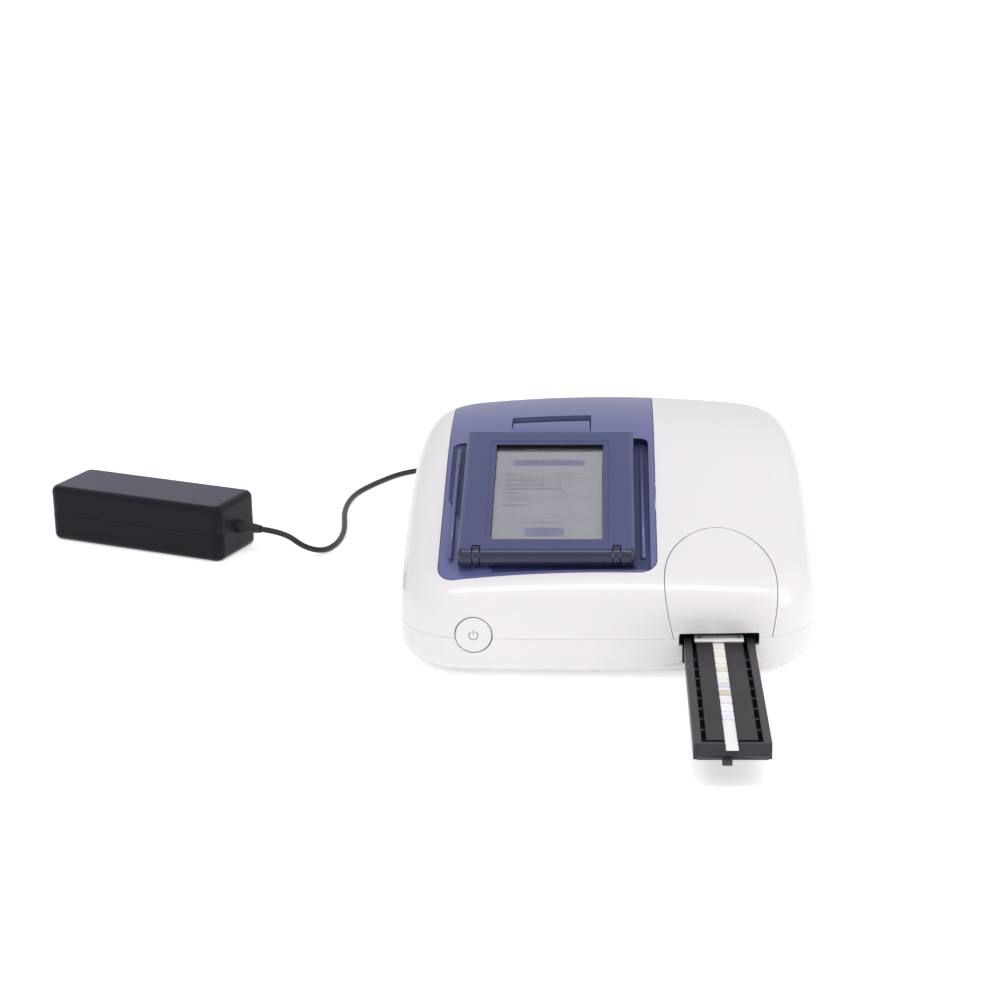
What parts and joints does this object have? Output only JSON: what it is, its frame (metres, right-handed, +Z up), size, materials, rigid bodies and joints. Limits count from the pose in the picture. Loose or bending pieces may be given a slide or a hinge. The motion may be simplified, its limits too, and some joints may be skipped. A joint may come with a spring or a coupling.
{
  "type": "urine analyzer",
  "caption": "Desktop urine strip analyzer with motor-driven strip tray, tilting display over a label printer, rear ports and mains adapter on a coiled lead.",
  "frame": {"origin": "on the table, under the middle of the analyzer with its tray run out", "axes": "+X right seen from the front, +Y towards the back, +Z up"},
  "size_m": [0.392, 0.437, 0.0896],
  "materials": {
    "case_white": "pearl gloss",
    "deck_blue": "satin gloss",
    "bezel_blue": "satin gloss",
    "inner_blue": "matte",
    "screen_glass": "clear",
    "lcd_grey": "satin",
    "board_green": "solder mask",
    "chip_black": "matte",
    "rubber_black": "matte",
    "bright_steel": "satin",
    "button_white": "pearl gloss",
    "inner_grey": "matte",
    "tray_grey": "fine satin",
    "holder_black": "fine satin",
    "strip_white": "satin",
    "pad_colours": "matte",
    "reference_white": "matte",
    "gear_white": "satin",
    "motor_steel": "satin",
    "lens_clear": "clear",
    "paper_white": "matte",
    "core_card": "matte",
    "port_black": "matte",
    "port_metal": "plated",
    "lead_black": "satin",
    "adapter_black": "fine grain",
    "tie_black": "satin"
  },
  "bodies": {
    "case": {"top_cover": "case_white", "bottom_case": "case_white", "tray_bay_cover": "case_white", "blue_deck": "deck_blue", "hinge_pins": "bright_steel", "rubber_feet": "rubber_black", "case_screws": "bright_steel", "main_board": "board_green", "board_parts": "chip_black", "port_plate": "port_black", "dc_jack": "port_black", "usb_port": "port_metal", "serial_port": "port_metal", "side_port_plug": "rubber_black", "power_switch": "port_black", "switch_board": "board_green", "tray_guide": "inner_grey", "motor_bridge": "bright_steel", "drive_motor": "motor_steel", "optics_housing": "inner_blue", "optics_lens": "lens_clear", "optics_board": "board_green", "paper_bucket": "inner_blue", "print_head": "inner_grey", "printer_frame": "bright_steel", "feed_motor": "motor_steel", "tear_bar": "bright_steel", "dc_plug": "lead_black", "plug_relief": "lead_black", "plug_lead": "lead_black", "lead_coil": "lead_black", "coil_tie": "tie_black", "adapter_lead": "lead_black", "adapter_relief": "lead_black", "adapter_base": "adapter_black", "adapter_lid": "adapter_black", "mains_inlet": "adapter_black", "adapter_board": "board_green"},
    "display": {"display_bezel": "bezel_blue", "display_glass": "screen_glass", "lcd_panel": "lcd_grey", "display_board": "board_green", "display_back": "bezel_blue", "display_screws": "bright_steel"},
    "tray": {"tray_carrier": "tray_grey", "strip_holder": "holder_black", "test_strip": "strip_white", "reagent_pads": "pad_colours", "reference_plate": "reference_white", "tray_rack": "gear_white"},
    "pinion": {"drive_pinion": "gear_white"},
    "button": {"power_button": "button_white", "switch_plunger": "port_black"},
    "platen": {"platen_shaft": "bright_steel", "platen_roller": "rubber_black"},
    "roll": {"paper_roll": "paper_white", "roll_core": "core_card"}
  },
  "joints": [
    {"name": "tray_slide", "type": "slide", "parent": "case", "child": "tray", "axis": [0, 1, 0], "range_m": [0, 0.106]},
    {"name": "pinion_spin", "type": "hinge", "parent": "case", "child": "pinion", "pos_m": [0.02985, 0.017, 0.011], "axis": [0, 0, 1], "range_deg": [0, 760]},
    {"name": "power_button", "type": "slide", "parent": "case", "child": "button", "axis": [0, 1, 0], "range_m": [0, 0.0015], "stiffness_N_per_m": 600, "springref_m": -0.001},
    {"name": "display_tilt", "type": "hinge", "parent": "case", "child": "display", "pos_m": [-0.0276, -0.0149, 0.0543], "axis": [1, 0, 0], "range_deg": [0, 50]},
    {"name": "platen_spin", "type": "hinge", "parent": "display", "child": "platen", "pos_m": [-0.0276, 0.0832, 0.0796], "axis": [1, 0, 0], "continuous": true},
    {"name": "roll_spin", "type": "hinge", "parent": "case", "child": "roll", "pos_m": [-0.0276, 0.049, 0.052], "axis": [1, 0, 0], "continuous": true}
  ],
  "couplings": [
    {"joint": "pinion_spin", "follows": "tray_slide", "rad_per_m": 125}
  ]
}
